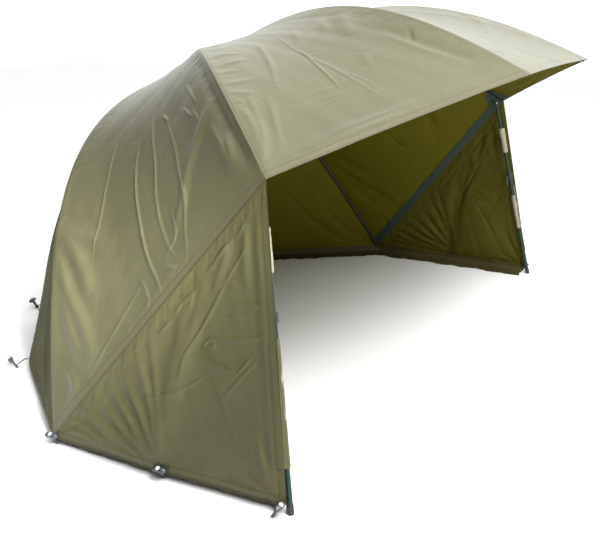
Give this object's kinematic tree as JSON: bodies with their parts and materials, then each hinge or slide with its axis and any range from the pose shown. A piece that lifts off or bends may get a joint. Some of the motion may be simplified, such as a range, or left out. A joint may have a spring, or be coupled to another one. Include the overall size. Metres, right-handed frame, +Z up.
{
  "type": "fishing umbrella",
  "caption": "Oval fishing umbrella pitched as a shelter: folding ribs on a slotted hub, olive canopy down to the ground, storm poles, storm wings and ground pegs.",
  "frame": {"origin": "middle of the shelter's base on the ground", "axes": "+X to the right of someone looking in, from side to side; -Y out of the open front; +Z up"},
  "size_m": [2.6072, 2.2168, 1.3125],
  "materials": {
    "canopy_cloth": "matt coated cloth, olive",
    "wing_cloth": "matt coated cloth, darker olive",
    "rib_metal": "dark painted",
    "black_plastic": "fine moulded grain",
    "pole_metal": "dark green, satin",
    "bright_steel": "bright",
    "peg_plastic": "dark grey, glossy",
    "cord": "braided, dark green"
  },
  "bodies": {
    "hub": {"hub": "black_plastic", "hub_wire_ring": "bright_steel", "crown_cap": "black_plastic", "centre_shaft": "rib_metal"},
    "runner": {"runner": "black_plastic"},
    "thumb_screw": {"thumb_screw": "black_plastic"},
    "rib_front_left": {"front_left_rib": "rib_metal", "front_left_canopy_gore": "canopy_cloth"},
    "link_front_left": {"front_left_link": "rib_metal"},
    "rib_corner_left": {"corner_left_rib": "rib_metal", "corner_left_canopy_gore": "canopy_cloth", "storm_wing_left": "wing_cloth", "wing_peg_left": "peg_plastic", "pole_peg_left": "peg_plastic"},
    "link_corner_left": {"corner_left_link": "rib_metal"},
    "rib_side_left": {"side_left_rib": "rib_metal", "side_left_canopy_gore": "canopy_cloth", "side_peg_left": "peg_plastic"},
    "link_side_left": {"side_left_link": "rib_metal"},
    "rib_rear_left": {"rear_left_rib": "rib_metal", "rear_left_canopy_gore": "canopy_cloth", "skirt_peg_left": "peg_plastic", "skirt_cord_left": "cord", "rear_peg_left": "peg_plastic", "rear_cord_left": "cord"},
    "link_rear_left": {"rear_left_link": "rib_metal"},
    "pole_upper_left": {"storm_pole_top_left": "black_plastic", "storm_pole_pin_left": "bright_steel", "storm_pole_upper_tube_left": "pole_metal"},
    "pole_lower_left": {"storm_pole_lower_tube_left": "pole_metal", "storm_pole_clamp_left": "black_plastic", "storm_pole_foot_left": "black_plastic"},
    "lever_left": {"storm_pole_lever_left": "black_plastic"},
    "rib_front_right": {"front_right_rib": "rib_metal", "front_right_canopy_gore": "canopy_cloth"},
    "link_front_right": {"front_right_link": "rib_metal"},
    "rib_corner_right": {"corner_right_rib": "rib_metal", "corner_right_canopy_gore": "canopy_cloth", "storm_wing_right": "wing_cloth", "wing_peg_right": "peg_plastic", "pole_peg_right": "peg_plastic"},
    "link_corner_right": {"corner_right_link": "rib_metal"},
    "rib_side_right": {"side_right_rib": "rib_metal", "side_right_canopy_gore": "canopy_cloth", "side_peg_right": "peg_plastic"},
    "link_side_right": {"side_right_link": "rib_metal"},
    "rib_rear_right": {"rear_right_rib": "rib_metal", "rear_right_canopy_gore": "canopy_cloth", "skirt_peg_right": "peg_plastic", "skirt_cord_right": "cord", "rear_peg_right": "peg_plastic", "rear_cord_right": "cord"},
    "link_rear_right": {"rear_right_link": "rib_metal"},
    "pole_upper_right": {"storm_pole_top_right": "black_plastic", "storm_pole_pin_right": "bright_steel", "storm_pole_upper_tube_right": "pole_metal"},
    "pole_lower_right": {"storm_pole_lower_tube_right": "pole_metal", "storm_pole_clamp_right": "black_plastic", "storm_pole_foot_right": "black_plastic"},
    "lever_right": {"storm_pole_lever_right": "black_plastic"}
  },
  "joints": [
    {"name": "canopy_fold", "type": "hinge", "parent": "hub", "child": "rib_corner_left", "pos_m": [-0.03146, 0.3206, 1.0551], "axis": [0.5608, -0.729, 0.3925], "range_deg": [0, 42], "deforming": ["corner_left_canopy_gore", "storm_wing_left"]},
    {"name": "rib_fold_front_left", "type": "hinge", "parent": "hub", "child": "rib_front_left", "pos_m": [-0.01188, 0.30758, 1.06211], "axis": [0.9499, -0.2753, 0.1482], "range_deg": [-1, 43], "deforming": ["front_left_canopy_gore"]},
    {"name": "rib_fold_side_left", "type": "hinge", "parent": "hub", "child": "rib_side_left", "pos_m": [-0.03724, 0.34603, 1.04141], "axis": [-0.1993, -0.8628, 0.4646], "range_deg": [-1, 43], "deforming": ["side_left_canopy_gore"]},
    {"name": "rib_fold_rear_left", "type": "hinge", "parent": "hub", "child": "rib_rear_left", "pos_m": [-0.0149, 0.37014, 1.02843], "axis": [-0.9199, -0.3453, 0.1859], "range_deg": [-1, 43], "deforming": ["rear_left_canopy_gore"]},
    {"name": "rib_fold_front_right", "type": "hinge", "parent": "hub", "child": "rib_front_right", "pos_m": [0.01188, 0.30758, 1.06211], "axis": [0.9499, 0.2753, -0.1482], "range_deg": [-1, 43], "deforming": ["front_right_canopy_gore"]},
    {"name": "rib_fold_corner_right", "type": "hinge", "parent": "hub", "child": "rib_corner_right", "pos_m": [0.03146, 0.3206, 1.0551], "axis": [0.5608, 0.729, -0.3925], "range_deg": [-1, 43], "deforming": ["corner_right_canopy_gore", "storm_wing_right"]},
    {"name": "rib_fold_side_right", "type": "hinge", "parent": "hub", "child": "rib_side_right", "pos_m": [0.03724, 0.34603, 1.04141], "axis": [-0.1993, 0.8628, -0.4646], "range_deg": [-1, 43], "deforming": ["side_right_canopy_gore"]},
    {"name": "rib_fold_rear_right", "type": "hinge", "parent": "hub", "child": "rib_rear_right", "pos_m": [0.0149, 0.37014, 1.02843], "axis": [-0.9199, 0.3453, -0.1859], "range_deg": [-1, 43], "deforming": ["rear_right_canopy_gore"]},
    {"name": "link_turn_front_left", "type": "hinge", "parent": "rib_front_left", "child": "link_front_left", "pos_m": [-0.06138, 0.16425, 1.11316], "axis": [0.9499, -0.2753, 0.1482], "range_deg": [-85, 1]},
    {"name": "link_turn_corner_left", "type": "hinge", "parent": "rib_corner_left", "child": "link_corner_left", "pos_m": [-0.16256, 0.23151, 1.07695], "axis": [0.5608, -0.729, 0.3925], "range_deg": [-85, 1]},
    {"name": "link_turn_side_left", "type": "hinge", "parent": "rib_side_left", "child": "link_side_left", "pos_m": [-0.1924, 0.36291, 1.0062], "axis": [-0.1993, -0.8628, 0.4646], "range_deg": [-85, 1]},
    {"name": "link_turn_rear_left", "type": "hinge", "parent": "rib_rear_left", "child": "link_rear_left", "pos_m": [-0.07699, 0.48748, 0.93912], "axis": [-0.9199, -0.3453, 0.1859], "range_deg": [-85, 1]},
    {"name": "link_turn_front_right", "type": "hinge", "parent": "rib_front_right", "child": "link_front_right", "pos_m": [0.06138, 0.16425, 1.11316], "axis": [0.9499, 0.2753, -0.1482], "range_deg": [-85, 1]},
    {"name": "link_turn_corner_right", "type": "hinge", "parent": "rib_corner_right", "child": "link_corner_right", "pos_m": [0.16256, 0.23151, 1.07695], "axis": [0.5608, 0.729, -0.3925], "range_deg": [-85, 1]},
    {"name": "link_turn_side_right", "type": "hinge", "parent": "rib_side_right", "child": "link_side_right", "pos_m": [0.1924, 0.36291, 1.0062], "axis": [-0.1993, 0.8628, -0.4646], "range_deg": [-85, 1]},
    {"name": "link_turn_rear_right", "type": "hinge", "parent": "rib_rear_right", "child": "link_rear_right", "pos_m": [0.07699, 0.48748, 0.93912], "axis": [-0.9199, 0.3453, -0.1859], "range_deg": [-85, 1]},
    {"name": "runner_slide", "type": "slide", "parent": "hub", "child": "runner", "axis": [0, -0.4741, -0.8805], "range_m": [-0.002, 0.2021]},
    {"name": "thumb_screw_turn", "type": "hinge", "parent": "runner", "child": "thumb_screw", "pos_m": [0, 0.30523, 0.98161], "axis": [0, 0.8805, -0.4741], "continuous": true},
    {"name": "storm_pole_swing_left", "type": "hinge", "parent": "rib_corner_left", "child": "pole_upper_left", "pos_m": [-1.08496, -0.57925, 0.86822], "axis": [-0.8045, 0.593, 0.0324], "range_deg": [-75, 0]},
    {"name": "storm_pole_slide_left", "type": "slide", "parent": "pole_upper_left", "child": "pole_lower_left", "axis": [0.179, 0.1901, 0.9653], "range_m": [-0.06, 0.25]},
    {"name": "clamp_lever_left", "type": "hinge", "parent": "pole_lower_left", "child": "lever_left", "pos_m": [-1.14101, -0.63551, 0.5064], "axis": [0.8045, -0.593, -0.0324], "range_deg": [0, 100]},
    {"name": "storm_pole_swing_right", "type": "hinge", "parent": "rib_corner_right", "child": "pole_upper_right", "pos_m": [1.08496, -0.57925, 0.86822], "axis": [-0.8045, -0.593, -0.0324], "range_deg": [-75, 0]},
    {"name": "storm_pole_slide_right", "type": "slide", "parent": "pole_upper_right", "child": "pole_lower_right", "axis": [-0.179, 0.1901, 0.9653], "range_m": [-0.06, 0.25]},
    {"name": "clamp_lever_right", "type": "hinge", "parent": "pole_lower_right", "child": "lever_right", "pos_m": [1.14101, -0.63551, 0.5064], "axis": [0.8045, 0.593, 0.0324], "range_deg": [0, 100]}
  ],
  "couplings": [
    {"joint": "rib_fold_front_left", "follows": "canopy_fold", "ratio": 1},
    {"joint": "rib_fold_side_left", "follows": "canopy_fold", "ratio": 1},
    {"joint": "rib_fold_rear_left", "follows": "canopy_fold", "ratio": 1},
    {"joint": "rib_fold_front_right", "follows": "canopy_fold", "ratio": 1},
    {"joint": "rib_fold_corner_right", "follows": "canopy_fold", "ratio": 1},
    {"joint": "rib_fold_side_right", "follows": "canopy_fold", "ratio": 1},
    {"joint": "rib_fold_rear_right", "follows": "canopy_fold", "ratio": 1},
    {"joint": "link_turn_front_left", "follows": "canopy_fold", "ratio": -2},
    {"joint": "link_turn_corner_left", "follows": "canopy_fold", "ratio": -2},
    {"joint": "link_turn_side_left", "follows": "canopy_fold", "ratio": -2},
    {"joint": "link_turn_rear_left", "follows": "canopy_fold", "ratio": -2},
    {"joint": "link_turn_front_right", "follows": "canopy_fold", "ratio": -2},
    {"joint": "link_turn_corner_right", "follows": "canopy_fold", "ratio": -2},
    {"joint": "link_turn_side_right", "follows": "canopy_fold", "ratio": -2},
    {"joint": "link_turn_rear_right", "follows": "canopy_fold", "ratio": -2},
    {"joint": "runner_slide", "follows": "canopy_fold", "m_per_rad": 0.27295}
  ]
}
